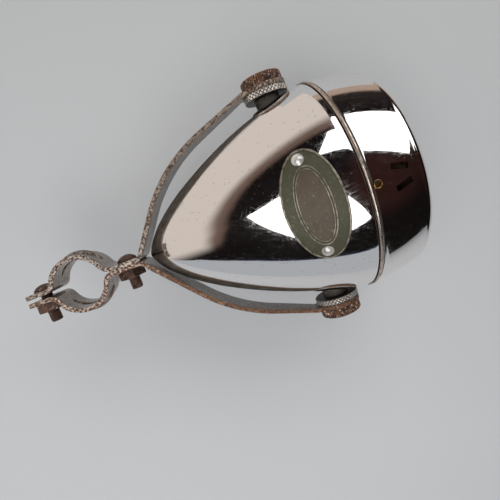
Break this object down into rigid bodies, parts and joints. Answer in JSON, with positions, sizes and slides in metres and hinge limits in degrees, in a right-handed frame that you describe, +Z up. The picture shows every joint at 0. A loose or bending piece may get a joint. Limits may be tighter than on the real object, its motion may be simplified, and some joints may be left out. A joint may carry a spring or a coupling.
{
  "type": "front lamp",
  "caption": "Bullet-shaped plated front lamp that tilts in a two-strap fork with a split clamp for an upright tube.",
  "frame": {"origin": "centre of the tube clamp's bore, halfway up the straps", "axes": "+X along the beam, +Y to the lamp's left, +Z up the clamped tube, towards the nameplate"},
  "size_m": [0.1736, 0.118, 0.0995],
  "materials": {
    "plated_brass": "polished chrome plate with fine scratches",
    "worn_nickel_steel": "worn nickel on steel with rust specks",
    "rusty_steel": "dark rust",
    "rusty_thumb_steel": "brown rust over knurling",
    "nickel_plate": "bright nickel plate",
    "plate_enamel": "worn enamel on stamped brass",
    "rivet_aluminium": "bright domed heads",
    "black_rubber": "moulded rubber",
    "aged_brass": "dull turned brass",
    "lens_glass": "clear pressed glass",
    "silvered_reflector": "silvered mirror",
    "spring_wire": "drawn spring wire",
    "red_fibre": "pressed fibre",
    "black_vitrite": "fused black glass",
    "solder": "solder bead",
    "bulb_glass": "clear blown glass",
    "filament_wire": "tungsten and nickel wire"
  },
  "bodies": {
    "bracket": {"left_strap": "worn_nickel_steel", "right_strap": "worn_nickel_steel", "inner_clamp_nut": "rusty_steel", "outer_clamp_nut": "rusty_steel"},
    "inner_bolt": {"inner_clamp_bolt": "rusty_steel"},
    "outer_bolt": {"outer_clamp_bolt": "rusty_steel"},
    "lamp": {"body_shell": "plated_brass", "left_pivot_boss": "nickel_plate", "right_pivot_boss": "nickel_plate", "nameplate": "plate_enamel", "nameplate_rivets": "rivet_aluminium", "cable_grommet": "black_rubber"},
    "left_screw": {"left_thumb_screw": "rusty_thumb_steel"},
    "right_screw": {"right_thumb_screw": "rusty_thumb_steel"},
    "left_ring": {"left_collar": "nickel_plate"},
    "right_ring": {"right_collar": "nickel_plate"},
    "front": {"bezel": "plated_brass", "lens": "lens_glass", "lens_gasket": "black_rubber", "reflector": "silvered_reflector", "spring_ring": "spring_wire"},
    "rim_lock": {"rim_screw": "aged_brass"},
    "holder": {"bulb_holder": "aged_brass", "contact_insulator": "red_fibre", "contact_blade": "aged_brass", "terminal_screw": "aged_brass", "terminal_nut": "aged_brass"},
    "bulb": {"bulb_cap": "aged_brass", "bulb_insulator": "black_vitrite", "bulb_contact": "solder", "bulb_glass": "bulb_glass", "bulb_filament": "filament_wire"}
  },
  "joints": [
    {"name": "inner_bolt_turn", "type": "hinge", "parent": "bracket", "child": "inner_bolt", "pos_m": [0.02128, 0, 0], "axis": [0, 1, 0], "continuous": true},
    {"name": "outer_bolt_turn", "type": "hinge", "parent": "bracket", "child": "outer_bolt", "pos_m": [-0.01927, 0, 0], "axis": [0, 1, 0], "continuous": true},
    {"name": "lamp_tilt", "type": "hinge", "parent": "bracket", "child": "lamp", "pos_m": [0.10953, 0, 0], "axis": [0, 1, 0], "range_deg": [-90, 90]},
    {"name": "left_thumb_turn", "type": "hinge", "parent": "lamp", "child": "left_screw", "pos_m": [0.10953, 0.057, 0], "axis": [0, 1, 0], "continuous": true},
    {"name": "right_thumb_turn", "type": "hinge", "parent": "lamp", "child": "right_screw", "pos_m": [0.10953, -0.057, 0], "axis": [0, -1, 0], "continuous": true},
    {"name": "left_collar_turn", "type": "hinge", "parent": "lamp", "child": "left_ring", "pos_m": [0.10953, 0.051, 0], "axis": [0, 1, 0], "continuous": true},
    {"name": "right_collar_turn", "type": "hinge", "parent": "lamp", "child": "right_ring", "pos_m": [0.10953, -0.051, 0], "axis": [0, -1, 0], "continuous": true},
    {"name": "bezel_pull", "type": "slide", "parent": "lamp", "child": "front", "axis": [1, 0, 0], "range_m": [0, 0.06]},
    {"name": "rim_screw_turn", "type": "hinge", "parent": "front", "child": "rim_lock", "pos_m": [0.12683, -0.00282, 0.04892], "axis": [0, -0.0576, 0.9983], "continuous": true},
    {"name": "holder_focus", "type": "slide", "parent": "front", "child": "holder", "axis": [1, 0, 0], "range_m": [-0.004, 0.004]},
    {"name": "bulb_turn", "type": "hinge", "parent": "holder", "child": "bulb", "pos_m": [0.1045, 0, 0], "axis": [1, 0, 0], "continuous": true}
  ]
}
